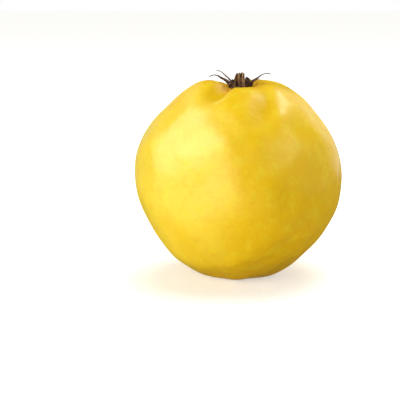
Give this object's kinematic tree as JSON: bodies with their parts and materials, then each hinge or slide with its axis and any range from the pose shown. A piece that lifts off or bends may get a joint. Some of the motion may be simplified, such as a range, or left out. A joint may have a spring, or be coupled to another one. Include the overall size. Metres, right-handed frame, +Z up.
{
  "type": "quince",
  "caption": "Whole ripe yellow quince, broad at the shoulder and ribbed round the dried calyx, with a short woody stalk stub in the cavity at its foot.",
  "frame": {"origin": "on the surface the fruit rests on, under the middle of the whole object", "axes": "+Z up the fruit's core towards the calyx, -Y towards the side of the deepest crease, +X to the right seen from there"},
  "size_m": [0.0884, 0.0876, 0.0865],
  "materials": {
    "skin": "satin",
    "dried_calyx": "matte",
    "bark": "matte"
  },
  "bodies": {
    "root": {"fruit": "skin", "calyx": "dried_calyx", "stalk": "bark"}
  },
  "joints": []
}
